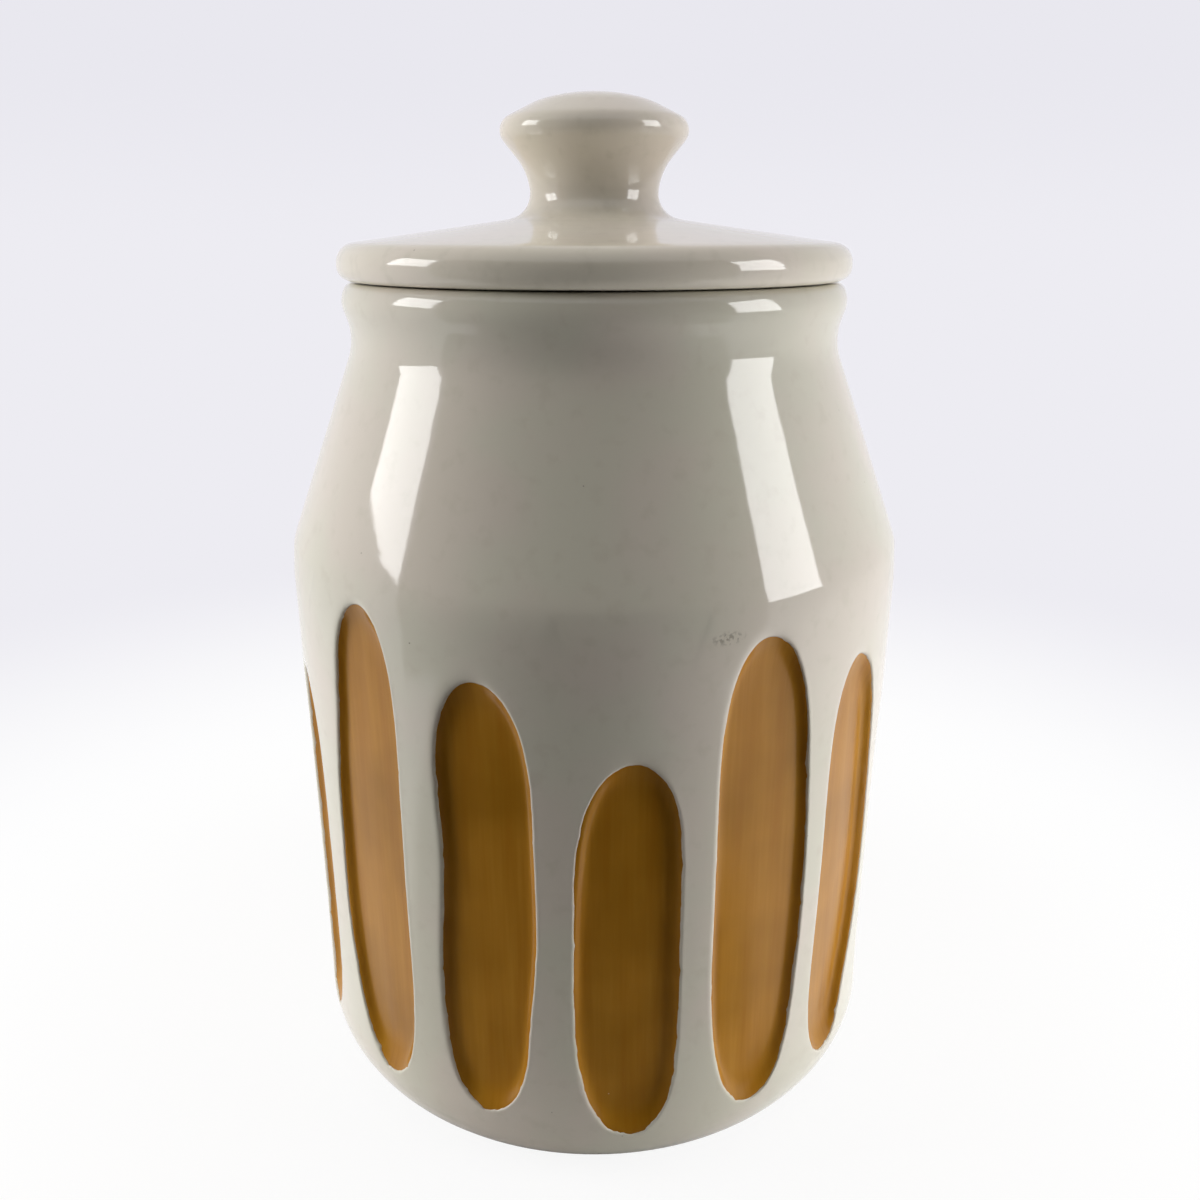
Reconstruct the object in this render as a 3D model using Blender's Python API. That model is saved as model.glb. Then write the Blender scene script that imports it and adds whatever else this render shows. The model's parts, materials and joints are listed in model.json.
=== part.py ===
"""A candy jar: a carved stoneware jar, its lift-off lid and the silicone ring that seals the mouth.

Lengths are in metres and +Z is up. The origin is the middle of the foot, on the surface that the jar
stands on, and the jar's front looks along -Y. Every round shape is turned about the Z axis from an
outline of corners, each given as (radius, height, rounding).
"""

import math

import bmesh
import bpy
from mathutils import Matrix, Vector

MM = 0.001

# The jar's outside, from the foot up. Radii are taken from the jar's axis.
FOOT_RADIUS = 60.3 * MM
FOOT_RING_WIDTH = 6.0 * MM
FOOT_RECESS = 1.8 * MM
FOOT_RECESS_SLOPE = 2.0 * MM
BASE_ROUND = 21.7 * MM
WALL_FOOT_RADIUS = 72.7 * MM
BELLY_RADIUS = 75.0 * MM
SHOULDER_HEIGHT = 139.9 * MM
SHOULDER_ROUND = 21.0 * MM
WAIST_RADIUS = 57.1 * MM
WAIST_HEIGHT = 188.6 * MM
WAIST_ROUND = 14.0 * MM
BEAD_PROUD = 2.9 * MM
BEAD_ABOVE_WAIST = 8.3 * MM
BEAD_ROUND = 6.0 * MM
RIM_ABOVE_BEAD = 4.3 * MM
RIM_INSET = 1.6 * MM
RIM_EDGE_ROUND = 0.6 * MM

# The jar's inside.
WALL = 5.6 * MM
FLOOR = 7.5 * MM
FLOOR_ROUND = 18.0 * MM
NECK_WALL = 5.1 * MM
NECK_ROUND = 12.0 * MM
LIP_ROUND = 1.5 * MM

# The carved flutes. Their tops repeat a pattern of three, given as drops below the shoulder, and lean
# down to the right. FLUTE_STRAYS says, in degrees, how far each was carved from its even place.
FLUTE_COUNT = 15
FLUTE_DROPS = (30.8 * MM, 4.9 * MM, 15.4 * MM)
FLUTE_LEAN = 3.0 * MM
FLUTE_BOTTOM = 17.4 * MM
FLUTE_DEPTH = 2.4 * MM
FLUTE_SLOPE = 4.5 * MM
FLUTE_END_POWER = 4.3
RIB_WIDTH = 7.2 * MM
FLUTE_START = math.radians(6.0)
FLUTE_STRAYS = (0, 0, 0, -0.2, -0.6, -1.2, -1.3, -1.9, -2.1, -2.7, -3.0, -3.6, -3.9, -1.3, -0.9)

# The lid. Its heights are measured up from the face that lies on the rim.
LID_OVERHANG = 0.3 * MM
LID_EDGE = 7.8 * MM
LID_EDGE_ROUND = 4.6 * MM
LID_UNDER_ROUND = 3.0 * MM
LID_RISE = 13.25 * MM
LID_WALL = 5.0 * MM
KNOB_ROOT_RADIUS = 21.3 * MM
KNOB_ROOT_ROUND = 9.0 * MM
KNOB_FOOT_RADIUS = 14.4 * MM
KNOB_FOOT_HEIGHT = 14.7 * MM
KNOB_FOOT_ROUND = 5.8 * MM
KNOB_NECK_RADIUS = 15.6 * MM
KNOB_NECK_HEIGHT = 23.9 * MM
KNOB_NECK_ROUND = 13.1 * MM
KNOB_RADIUS = 23.85 * MM
KNOB_EDGE_HEIGHT = 33.9 * MM
KNOB_EDGE_ROUND = 3.5 * MM
KNOB_CROWN_RADIUS = 13.6 * MM
KNOB_CROWN_HEIGHT = 39.0 * MM
KNOB_CROWN_ROUND = 20.9 * MM
KNOB_TOP_RADIUS = 7.0 * MM
KNOB_TOP_ROUND = 34.0 * MM
KNOB_HEIGHT = 40.9 * MM
KNOB_HOLLOW_RADIUS = 9.5 * MM
KNOB_HOLLOW_ROUND = 5.0 * MM
KNOB_TOP_WALL = 8.0 * MM
SKIRT_DEPTH = 14.0 * MM
SKIRT_WALL = 5.0 * MM
SKIRT_CLEARANCE = 1.6 * MM
SKIRT_ROUND = 1.2 * MM

# The seal ring and its groove, which runs round the middle of the lid's skirt.
GROOVE_HEIGHT = 4.6 * MM
GROOVE_DEPTH = 1.9 * MM
GROOVE_DROP = 5.0 * MM
SEAL_CORE = 1.9 * MM
SEAL_LIP = 1.0 * MM

# Gaps between pieces that touch on the real jar.
SEAT_GAP = 0.3 * MM
SEAL_GAP = 0.3 * MM

# How finely round shapes are divided.
JAR_STEPS = 60
LID_STEPS = 48
FLUTE_POINTS = 20
ARC_ERROR = 0.1 * MM
SHARP_ANGLE = math.radians(32)

# Heights and radii that follow from the sizes above.
BEAD_RADIUS = WAIST_RADIUS + BEAD_PROUD
BEAD_HEIGHT = WAIST_HEIGHT + BEAD_ABOVE_WAIST
RIM_RADIUS = BEAD_RADIUS - RIM_INSET
RIM_HEIGHT = BEAD_HEIGHT + RIM_ABOVE_BEAD
MOUTH_RADIUS = WAIST_RADIUS - NECK_WALL
SEAT_HEIGHT = RIM_HEIGHT + SEAT_GAP
SKIRT_RADIUS = MOUTH_RADIUS - SKIRT_CLEARANCE


def clear_scene():
    """Remove every object of the startup scene."""
    for item in list(bpy.data.objects):
        bpy.data.objects.remove(item, do_unlink=True)


def srgb(code):
    """The linear colour of a hex code such as D8D3C6."""
    shares = [int(code[i : i + 2], 16) / 255 for i in (0, 2, 4)]
    return [c / 12.92 if c <= 0.04045 else ((c + 0.055) / 1.055) ** 2.4 for c in shares] + [1.0]


def make_material(name, colour, roughness, metallic=0.0):
    """A Principled material of one colour."""
    material = bpy.data.materials.new(name)
    material.use_nodes = True
    material.diffuse_color = srgb(colour)
    shader = material.node_tree.nodes["Principled BSDF"]
    shader.inputs["Base Color"].default_value = srgb(colour)
    shader.inputs["Roughness"].default_value = roughness
    shader.inputs["Metallic"].default_value = metallic
    return material


def rounded(corners):
    """The points of an outline of (radius, height, rounding) corners, with each rounding as an arc."""
    spots = [Vector(corner[:2]) for corner in corners]
    points = [spots[0]]
    for before, spot, after, corner in zip(spots, spots[1:], spots[2:], corners[1:]):
        if not corner[2]:
            points.append(spot)
            continue
        back = before - spot
        on = after - spot
        half_angle = back.angle(on) / 2
        reach = min(corner[2] / math.tan(half_angle), back.length, on.length)
        radius = reach * math.tan(half_angle)
        middle = (back.normalized() + on.normalized()).normalized()
        centre = spot + middle * (reach / math.cos(half_angle))
        spoke = spot + back.normalized() * reach - centre
        turn = spoke.angle_signed(spot + on.normalized() * reach - centre)
        step = 2 * math.acos(1 - min(ARC_ERROR / radius, 0.5))
        count = max(2, math.ceil(abs(turn) / step))
        for i in range(count + 1):
            points.append(centre + Matrix.Rotation(-turn * i / count, 2) @ spoke)
    return points + [spots[-1]]


def mitre(before, corner, after, thickness):
    """The corner of a wall's inner side, where its outer side turns at corner."""
    sides = []
    for start, end in ((before, corner), (corner, after)):
        side = (Vector(end[:2]) - Vector(start[:2])).normalized()
        sides.append(side)
    inward = [Vector((-side.y, side.x)) for side in sides]
    bisector = (inward[0] + inward[1]).normalized()
    spot = Vector(corner[:2]) + bisector * (thickness / bisector.dot(inward[0]))
    return spot.x, spot.y


def turned(name, points, steps, closed=False):
    """A mesh turned about Z from an outline that runs down its outer side."""
    shape = bmesh.new()
    outline = [shape.verts.new((point.x, 0, point.y)) for point in points]
    ends = zip(outline, outline[1:] + outline[:1]) if closed else zip(outline, outline[1:])
    edges = [shape.edges.new(pair) for pair in ends]
    bmesh.ops.spin(
        shape,
        geom=outline + edges,
        cent=(0, 0, 0),
        axis=(0, 0, 1),
        angle=math.tau,
        steps=steps,
        use_merge=True,
    )
    bmesh.ops.remove_doubles(shape, verts=shape.verts, dist=0.001 * MM)
    bmesh.ops.recalc_face_normals(shape, faces=shape.faces)
    mesh = bpy.data.meshes.new(name)
    shape.to_mesh(mesh)
    shape.free()
    mesh.shade_smooth()
    mesh.set_sharp_from_angle(angle=SHARP_ANGLE)
    return mesh


def add_object(name, mesh, material, parent=None, height=0.0):
    """A named object on the jar's axis, with one material."""
    item = bpy.data.objects.new(name, mesh)
    mesh.materials.append(material)
    bpy.context.scene.collection.objects.link(item)
    item.parent = parent
    item.location.z = height
    return item


def add_empty(name, height):
    """An empty on the jar's axis, which carries the pieces that lift off together."""
    item = bpy.data.objects.new(name, None)
    item.empty_display_size = BELLY_RADIUS
    item.location.z = height
    bpy.context.scene.collection.objects.link(item)
    return item


def base_corner_height():
    """The height of the base's corner: its round ends at the foot's edge and runs on into the wall."""
    width = WALL_FOOT_RADIUS - FOOT_RADIUS
    top = math.sqrt(2 * BASE_ROUND * width - width**2)
    return (top**2 - width**2) / (2 * top)


BASE_HEIGHT = base_corner_height()


def jar_corners():
    """The jar's outline, from the middle of its floor over the rim and down to the foot."""
    rim = (RIM_RADIUS, RIM_HEIGHT, RIM_EDGE_ROUND)
    bead = (BEAD_RADIUS, BEAD_HEIGHT, BEAD_ROUND)
    waist = (WAIST_RADIUS, WAIST_HEIGHT, WAIST_ROUND)
    shoulder = (BELLY_RADIUS, SHOULDER_HEIGHT, SHOULDER_ROUND)
    base = (WALL_FOOT_RADIUS, BASE_HEIGHT, BASE_ROUND)
    foot = (FOOT_RADIUS, 0, 0)
    outside = [rim, bead, waist, shoulder, base, foot]

    inner_shoulder = mitre(base, shoulder, waist, WALL)
    cone_slope = (WAIST_HEIGHT - SHOULDER_HEIGHT) / (WAIST_RADIUS - BELLY_RADIUS)
    neck_height = inner_shoulder[1] + (MOUTH_RADIUS - inner_shoulder[0]) * cone_slope
    inside = [
        (0, FLOOR, 0),
        (WALL_FOOT_RADIUS - WALL, FLOOR, FLOOR_ROUND),
        (*inner_shoulder, SHOULDER_ROUND - WALL),
        (MOUTH_RADIUS, neck_height, NECK_ROUND),
        (MOUTH_RADIUS, RIM_HEIGHT, LIP_ROUND),
    ]

    ring_inside = FOOT_RADIUS - FOOT_RING_WIDTH
    underside = [
        (ring_inside, 0, 0),
        (ring_inside - FOOT_RECESS_SLOPE, FOOT_RECESS, 0),
        (0, FOOT_RECESS, 0),
    ]
    return inside + outside + underside


def wall_radius(height):
    """The radius of the straight wall at a height."""
    share = (height - BASE_HEIGHT) / (SHOULDER_HEIGHT - BASE_HEIGHT)
    return WALL_FOOT_RADIUS + (BELLY_RADIUS - WALL_FOOT_RADIUS) * share


def flute_places():
    """The azimuth and top of each flute. They were carved by eye, so both stray a little from even."""
    places = []
    for i in range(FLUTE_COUNT):
        stray = math.radians(FLUTE_STRAYS[i % len(FLUTE_STRAYS)])
        azimuth = FLUTE_START + math.tau * i / FLUTE_COUNT + stray
        drop = FLUTE_DROPS[i % len(FLUTE_DROPS)] + FLUTE_LEAN * math.sin(azimuth)
        places.append((azimuth, SHOULDER_HEIGHT - drop))
    return places


def flute_ring(shape, azimuth, top, inset, depth):
    """One ring of a flute's cutter: a long oval drawn in by inset and sunk by depth into the wall."""
    pitch = math.tau * WALL_FOOT_RADIUS / FLUTE_COUNT
    half_width = (pitch - RIB_WIDTH) / 2 - inset
    half_height = (top - FLUTE_BOTTOM) / 2 - inset
    middle = (top + FLUTE_BOTTOM) / 2
    ring = []
    for i in range(FLUTE_POINTS):
        angle = math.tau * i / FLUTE_POINTS
        rise = abs(math.cos(angle)) ** (2 / FLUTE_END_POWER)
        height = middle + half_height * math.copysign(rise, math.cos(angle))
        radius = wall_radius(height) - depth
        bearing = azimuth + half_width * math.sin(angle) / WALL_FOOT_RADIUS
        ring.append(shape.verts.new((radius * math.sin(bearing), -radius * math.cos(bearing), height)))
    return ring


def fill_across(shape, ring, azimuth):
    """Close a ring with two columns of faces that meet on a middle line bent to the jar's round."""
    half = len(ring) // 2
    spine = [ring[0]]
    for right, left in zip(ring[1:half], reversed(ring[half + 1 :])):
        radius = math.hypot(right.co.x, right.co.y)
        spot = (radius * math.sin(azimuth), -radius * math.cos(azimuth), (right.co.z + left.co.z) / 2)
        spine.append(shape.verts.new(spot))
    spine.append(ring[half])
    for side in (ring[: half + 1], [ring[0], *reversed(ring[half:])]):
        for i in range(half):
            corners = [spine[i], spine[i + 1], side[i + 1], side[i]]
            shape.faces.new(list(dict.fromkeys(corners)))


def flute_cutter(shape, azimuth, top):
    """A closed cutter for one flute: its side falls steeply from the rib and eases into a flat floor."""
    outer_slope = FLUTE_DEPTH * math.pi / 2 / FLUTE_SLOPE
    levels = [(-FLUTE_SLOPE / 3, -WALL)]
    for share in (-1 / 3, 0.45, 1):
        inset = FLUTE_SLOPE * share
        depth = inset * outer_slope if share < 0 else FLUTE_DEPTH * math.sin(math.pi / 2 * share)
        levels.append((inset, depth))
    rings = [flute_ring(shape, azimuth, top, inset, depth) for inset, depth in levels]
    for upper, lower in zip(rings, rings[1:]):
        for i in range(FLUTE_POINTS):
            j = (i + 1) % FLUTE_POINTS
            shape.faces.new([upper[i], upper[j], lower[j], lower[i]])
    fill_across(shape, rings[0], azimuth)
    fill_across(shape, rings[-1], azimuth)


def build_flute_cutters(material):
    """All the flutes' cutters as one object, whose material colours the cuts."""
    shape = bmesh.new()
    for azimuth, top in flute_places():
        flute_cutter(shape, azimuth, top)
    bmesh.ops.recalc_face_normals(shape, faces=shape.faces)
    mesh = bpy.data.meshes.new("flute_cutters")
    shape.to_mesh(mesh)
    shape.free()
    mesh.shade_smooth()
    return add_object("flute_cutters", mesh, material)


def carve(item, cutters):
    """Cut the cutters out of an object for good, so that the new edges can be shaded sharp."""
    cut = item.modifiers.new("carve", "BOOLEAN")
    cut.operation = "DIFFERENCE"
    cut.solver = "EXACT"
    cut.material_mode = "TRANSFER"
    cut.object = cutters
    graph = bpy.context.evaluated_depsgraph_get()
    item.data = bpy.data.meshes.new_from_object(item.evaluated_get(graph))
    item.data.name = item.name
    item.data.set_sharp_from_angle(angle=SHARP_ANGLE)
    item.modifiers.clear()
    bpy.data.objects.remove(cutters)


def build_jar(glaze, amber):
    """The jar's body: turned, then carved with its flutes."""
    jar = add_object("jar_body", turned("jar_body", rounded(jar_corners()), JAR_STEPS), glaze)
    carve(jar, build_flute_cutters(amber))


def lid_corners():
    """The lid's outline, from the top of the knob over the edge, down the skirt and up the inside."""
    edge_radius = BEAD_RADIUS + LID_OVERHANG
    plate_slope = (LID_RISE - LID_EDGE) / (KNOB_ROOT_RADIUS - edge_radius)
    outside = [
        (0, KNOB_HEIGHT, 0),
        (KNOB_TOP_RADIUS, KNOB_HEIGHT, KNOB_TOP_ROUND),
        (KNOB_CROWN_RADIUS, KNOB_CROWN_HEIGHT, KNOB_CROWN_ROUND),
        (KNOB_RADIUS, KNOB_EDGE_HEIGHT, KNOB_EDGE_ROUND),
        (KNOB_NECK_RADIUS, KNOB_NECK_HEIGHT, KNOB_NECK_ROUND),
        (KNOB_FOOT_RADIUS, KNOB_FOOT_HEIGHT, KNOB_FOOT_ROUND),
        (KNOB_ROOT_RADIUS, LID_RISE, KNOB_ROOT_ROUND),
        (edge_radius, LID_EDGE, LID_EDGE_ROUND),
        (edge_radius, 0, LID_UNDER_ROUND),
    ]

    groove_radius = SKIRT_RADIUS - GROOVE_DEPTH
    groove_foot = -GROOVE_DROP - GROOVE_HEIGHT
    skirt = [
        (SKIRT_RADIUS, 0, 0),
        (SKIRT_RADIUS, -GROOVE_DROP, 0),
        (groove_radius, -GROOVE_DROP, 0),
        (groove_radius, groove_foot, 0),
        (SKIRT_RADIUS, groove_foot, 0),
        (SKIRT_RADIUS, -SKIRT_DEPTH, SKIRT_ROUND),
        (SKIRT_RADIUS - SKIRT_WALL, -SKIRT_DEPTH, SKIRT_ROUND),
    ]

    skirt_inside = SKIRT_RADIUS - SKIRT_WALL
    inside = []
    for radius, rounding in ((skirt_inside, SKIRT_WALL), (KNOB_HOLLOW_RADIUS, KNOB_HOLLOW_ROUND)):
        height = LID_EDGE + (radius - edge_radius) * plate_slope - LID_WALL
        inside.append((radius, height, rounding))
    hollow_top = KNOB_HEIGHT - KNOB_TOP_WALL
    inside.append((KNOB_HOLLOW_RADIUS, hollow_top, KNOB_HOLLOW_ROUND))
    inside.append((0, hollow_top, 0))
    return outside + skirt + inside


def build_lid(glaze, lift):
    """The lid, with its knob and skirt in one piece, and its origin on the rim's height."""
    add_object("lid", turned("lid", rounded(lid_corners()), LID_STEPS), glaze, lift)


def seal_corners():
    """The seal ring's closed outline: a core that fills the groove and two lips that meet the mouth."""
    core_inside = SKIRT_RADIUS - GROOVE_DEPTH + SEAL_GAP
    core_outside = core_inside + SEAL_CORE
    lip_radius = MOUTH_RADIUS - SEAL_GAP
    top = GROOVE_HEIGHT / 2 - SEAL_GAP
    return [
        (core_inside, top),
        (core_outside, top),
        (lip_radius, top),
        (lip_radius, top - SEAL_LIP / 2),
        (core_outside, top - SEAL_LIP),
        (core_outside, SEAL_LIP - top),
        (lip_radius, SEAL_LIP / 2 - top),
        (lip_radius, -top),
        (core_outside, -top),
        (core_inside, -top),
    ]


def build_seal(silicone, lift):
    """The seal ring, with its origin in the middle of the groove."""
    outline = [Vector(corner) for corner in seal_corners()]
    mesh = turned("seal_ring", outline, LID_STEPS, closed=True)
    add_object("seal_ring", mesh, silicone, lift, -GROOVE_DROP - GROOVE_HEIGHT / 2)


def build():
    """The whole jar, with the lid and its ring on one empty that lifts them off."""
    clear_scene()
    glaze = make_material("warm_white_glaze", "D9D5CA", 0.12)
    amber = make_material("amber_glaze", "B07F3C", 0.35)
    silicone = make_material("silicone", "DAD9D4", 0.5)
    build_jar(glaze, amber)
    lift = add_empty("lid_lift", SEAT_HEIGHT)
    build_lid(glaze, lift)
    build_seal(silicone, lift)


build()
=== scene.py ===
# %% [markdown]
# A carved stoneware candy jar with a lift-off lid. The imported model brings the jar's solids and the
# bodies that move: the jar, the silicone ring and the lid. This lesson dresses them. It builds fine
# surfaces over the plain solids, glazes them, and sets them in a pale studio. The solids could be
# shown as they are, but their faces are too coarse for a gloss glaze, which shows every flat spot.

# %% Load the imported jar
import json

import bpy
import numpy as np
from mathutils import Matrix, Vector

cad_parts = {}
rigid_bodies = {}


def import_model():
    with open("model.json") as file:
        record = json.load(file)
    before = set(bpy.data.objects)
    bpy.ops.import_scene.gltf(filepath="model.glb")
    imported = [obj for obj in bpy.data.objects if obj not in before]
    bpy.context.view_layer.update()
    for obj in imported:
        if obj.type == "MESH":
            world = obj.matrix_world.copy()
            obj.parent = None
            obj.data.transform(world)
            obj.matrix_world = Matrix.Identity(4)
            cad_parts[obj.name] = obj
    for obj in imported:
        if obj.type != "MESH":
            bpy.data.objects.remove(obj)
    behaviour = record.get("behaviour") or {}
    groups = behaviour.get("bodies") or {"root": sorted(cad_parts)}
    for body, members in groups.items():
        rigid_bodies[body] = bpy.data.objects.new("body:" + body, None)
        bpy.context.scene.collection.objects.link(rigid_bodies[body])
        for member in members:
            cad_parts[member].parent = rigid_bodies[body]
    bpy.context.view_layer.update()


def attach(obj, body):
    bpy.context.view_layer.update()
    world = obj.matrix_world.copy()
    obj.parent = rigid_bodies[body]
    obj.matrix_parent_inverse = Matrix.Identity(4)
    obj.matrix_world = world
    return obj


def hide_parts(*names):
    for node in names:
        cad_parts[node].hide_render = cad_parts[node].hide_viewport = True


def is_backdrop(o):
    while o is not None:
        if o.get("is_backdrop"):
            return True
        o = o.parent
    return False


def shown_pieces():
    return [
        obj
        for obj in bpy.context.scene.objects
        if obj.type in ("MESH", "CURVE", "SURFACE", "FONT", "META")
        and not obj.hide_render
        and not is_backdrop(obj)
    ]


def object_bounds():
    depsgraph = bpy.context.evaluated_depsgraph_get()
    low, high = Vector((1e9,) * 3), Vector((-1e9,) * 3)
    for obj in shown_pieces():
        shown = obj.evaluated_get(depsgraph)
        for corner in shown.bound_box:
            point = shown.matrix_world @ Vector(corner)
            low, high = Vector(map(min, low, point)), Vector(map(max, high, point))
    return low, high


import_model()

# %% [markdown]
# The camera comes first, because every later choice is judged through it. It stands a little above
# the lid and close to the jar, so the lid shows its top and the sides narrow towards the foot. A
# longer lens further off would flatten the jar; this short distance keeps the lean of the picture.

# %% Camera
MM = 0.001
CAMERA_DISTANCE = 288.7 * MM
CAMERA_HEIGHT = 213.1 * MM
CAMERA_PITCH = np.radians(17.75)
CAMERA_LENS = 34.92
JAR_LEFT_OF_CENTRE = 0.00475

camera_data = bpy.data.cameras.new("camera")
camera_data.lens = CAMERA_LENS
camera_data.sensor_width = 36
camera_data.shift_x = JAR_LEFT_OF_CENTRE
camera_data.clip_start = 10 * MM
camera = bpy.data.objects.new("camera", camera_data)
camera.location = (0, -CAMERA_DISTANCE, CAMERA_HEIGHT)
camera.rotation_euler = (np.pi / 2 - CAMERA_PITCH, 0, 0)
bpy.context.scene.collection.objects.link(camera)
bpy.context.scene.camera = camera
print(f"camera {CAMERA_DISTANCE:.3f} m in front, {CAMERA_HEIGHT:.3f} m up")

# %% [markdown]
# Every shape here becomes a mesh in the same way. A patch is an array of points on a grid, and its
# faces join neighbours in that grid. Patches that share a border could be joined by hand-kept
# indices, but it is simpler to stack them all and weld the points that lie in the same place. That
# closes seams and poles too, and a count of the edges proves that the skin has no hole.

# %% Mesh helpers
WELD = 0.001 * MM


def grid_faces(rows, columns):
    """Quads of a grid: each joins a point to its right, lower right and lower neighbour."""
    start = np.arange((rows - 1) * columns).reshape(rows - 1, columns)[:, :-1].ravel()
    return np.stack([start, start + columns, start + columns + 1, start + 1], axis=1)


def welded(points, faces):
    """Points that round to the same place become one. A face that lost a corner keeps the others,
    which the second result marks, and a face with fewer than three left isn't whole."""
    _, first, index = np.unique(
        np.round(points / WELD).astype(np.int64), axis=0, return_index=True, return_inverse=True
    )
    faces = index.reshape(-1)[faces]
    kept = faces != np.roll(faces, 1, axis=1)
    return points[first], faces, kept, kept.sum(axis=1) > 2


def loose_edges(corners, starts, sizes):
    """Edges that no neighbour runs along the other way: none are left on a closed, even skin."""
    following = np.arange(len(corners)) + 1
    following[starts + sizes - 1] = starts
    there = corners * (corners.max() + 1) + corners[following]
    back = corners[following] * (corners.max() + 1) + corners
    return len(there) - len(np.intersect1d(there, back)) + len(there) - len(np.unique(there))


def make_piece(name, patches, material):
    """One object from (points, faces, uv) patches, welded, smooth and standing at the origin."""
    offsets = np.cumsum([0] + [len(points) for points, _, _ in patches])
    stacked = np.concatenate([faces + start for (_, faces, _), start in zip(patches, offsets)])
    corner_uv = np.concatenate([uv for _, _, uv in patches])[stacked]
    points, faces, kept, whole = welded(np.concatenate([patch[0] for patch in patches]), stacked)
    faces, kept, corner_uv = faces[whole], kept[whole], corner_uv[whole]
    sizes = kept.sum(axis=1)
    starts = np.cumsum(sizes) - sizes
    mesh = bpy.data.meshes.new(name)
    mesh.vertices.add(len(points))
    mesh.vertices.foreach_set("co", points.astype(np.float32).ravel())
    mesh.loops.add(int(sizes.sum()))
    mesh.loops.foreach_set("vertex_index", faces[kept].astype(np.int32))
    mesh.polygons.add(len(sizes))
    mesh.polygons.foreach_set("loop_start", starts.astype(np.int32))
    mesh.polygons.foreach_set("use_smooth", np.ones(len(sizes), bool))
    flat_uv = corner_uv[kept].astype(np.float32).ravel()
    mesh.uv_layers.new(name="surface").data.foreach_set("uv", flat_uv)
    mesh.update(calc_edges=True)
    mesh.materials.append(material)
    piece = bpy.data.objects.new(name, mesh)
    bpy.context.scene.collection.objects.link(piece)
    loose = loose_edges(faces[kept], starts, sizes)
    print(f"{name}: {int((sizes - 2).sum())} triangles, {loose} loose edges")
    return piece


# %% [markdown]
# A potter's shape is round, so it is fully told by its outline. An outline here is a short list of
# corners, each with a radius, a height and the rounding of that corner. A smooth curve through many
# points could draw it too, but corners with arcs keep each size in plain sight, as on a drawing.

# %% Outline helpers
ARC_ERROR = 0.02 * MM
LONGEST_STEP = 4.0 * MM


def corner_arc(before, spot, after, rounding):
    """The arc that touches both sides of a corner: its centre lies on the corner's bisector, as far
    out as the rounding divided by the sine of the half angle."""
    back = (before - spot) / np.linalg.norm(before - spot)
    on = (after - spot) / np.linalg.norm(after - spot)
    half = np.arccos(np.clip(back @ on, -1, 1)) / 2
    legs = np.linalg.norm(before - spot), np.linalg.norm(after - spot)
    reach = min(rounding / np.tan(half), *legs)
    radius = reach * np.tan(half)
    centre = spot + (back + on) / np.linalg.norm(back + on) * reach / np.cos(half)
    first, last = spot + back * reach - centre, spot + on * reach - centre
    turn = np.pi - 2 * half
    side = np.sign(first[0] * last[1] - first[1] * last[0])
    count = max(3, int(np.ceil(turn / (2 * np.arccos(1 - min(ARC_ERROR / radius, 0.5))))))
    angle = side * np.linspace(0, turn, count + 1)[:, None]
    sideways = np.array([-first[1], first[0]])
    return centre + np.cos(angle) * first + np.sin(angle) * sideways


def outline(corners):
    """Points along (radius, height, rounding) corners, with an arc in place of each rounded one."""
    spots = np.array([corner[:2] for corner in corners], float)
    parts = [spots[:1]]
    for i in range(1, len(corners) - 1):
        before, spot, after = spots[i - 1 : i + 2]
        rounding = corners[i][2]
        parts.append(corner_arc(before, spot, after, rounding) if rounding else spot[None])
    return np.concatenate(parts + [spots[-1:]])


def finer(points, longest=LONGEST_STEP):
    """The same line with extra points wherever two neighbours lie too far apart."""
    gaps = np.linalg.norm(np.diff(points, axis=0), axis=1)
    points, gaps = points[np.r_[True, gaps > WELD]], gaps[gaps > WELD]
    counts = np.ceil(gaps / longest).astype(int)
    at = np.repeat(np.arange(len(gaps)), counts)
    share = (np.arange(counts.sum()) - np.repeat(np.cumsum(counts) - counts, counts)) / counts[at]
    inner = points[at] + (points[at + 1] - points[at]) * share[:, None]
    return np.concatenate([inner, points[-1:]])


def turned(line, azimuths):
    """A line of (radius, height) points turned about Z: x is the radius times the sine of the
    azimuth and y is minus the radius times its cosine, so azimuth 0 is the jar's front."""
    radius, height = line[:, :1], line[:, 1:]
    x, y = radius * np.sin(azimuths), -radius * np.cos(azimuths)
    points = np.stack([x, y, height + 0 * x], axis=-1).reshape(-1, 3)
    along = np.r_[0, np.cumsum(np.linalg.norm(np.diff(line, axis=0), axis=1))]
    u, v = np.meshgrid(azimuths * line[:, 0].max(), along)
    return points, grid_faces(len(line), len(azimuths)), np.stack([u, v], axis=-1).reshape(-1, 2)


# %% [markdown]
# The jar stands on a narrow foot ring, rises through a rounded base to an almost straight wall, and
# leans in over the shoulder to a waist under the rolled rim. Inside, the wall follows the outside.
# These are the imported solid's own sizes, except that the rim is rounded more and the foot a little,
# because fired clay is never sharp. Where a corner of the wall bends, an even wall has its inner
# corner lower by the tangent of half that bend.

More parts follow.
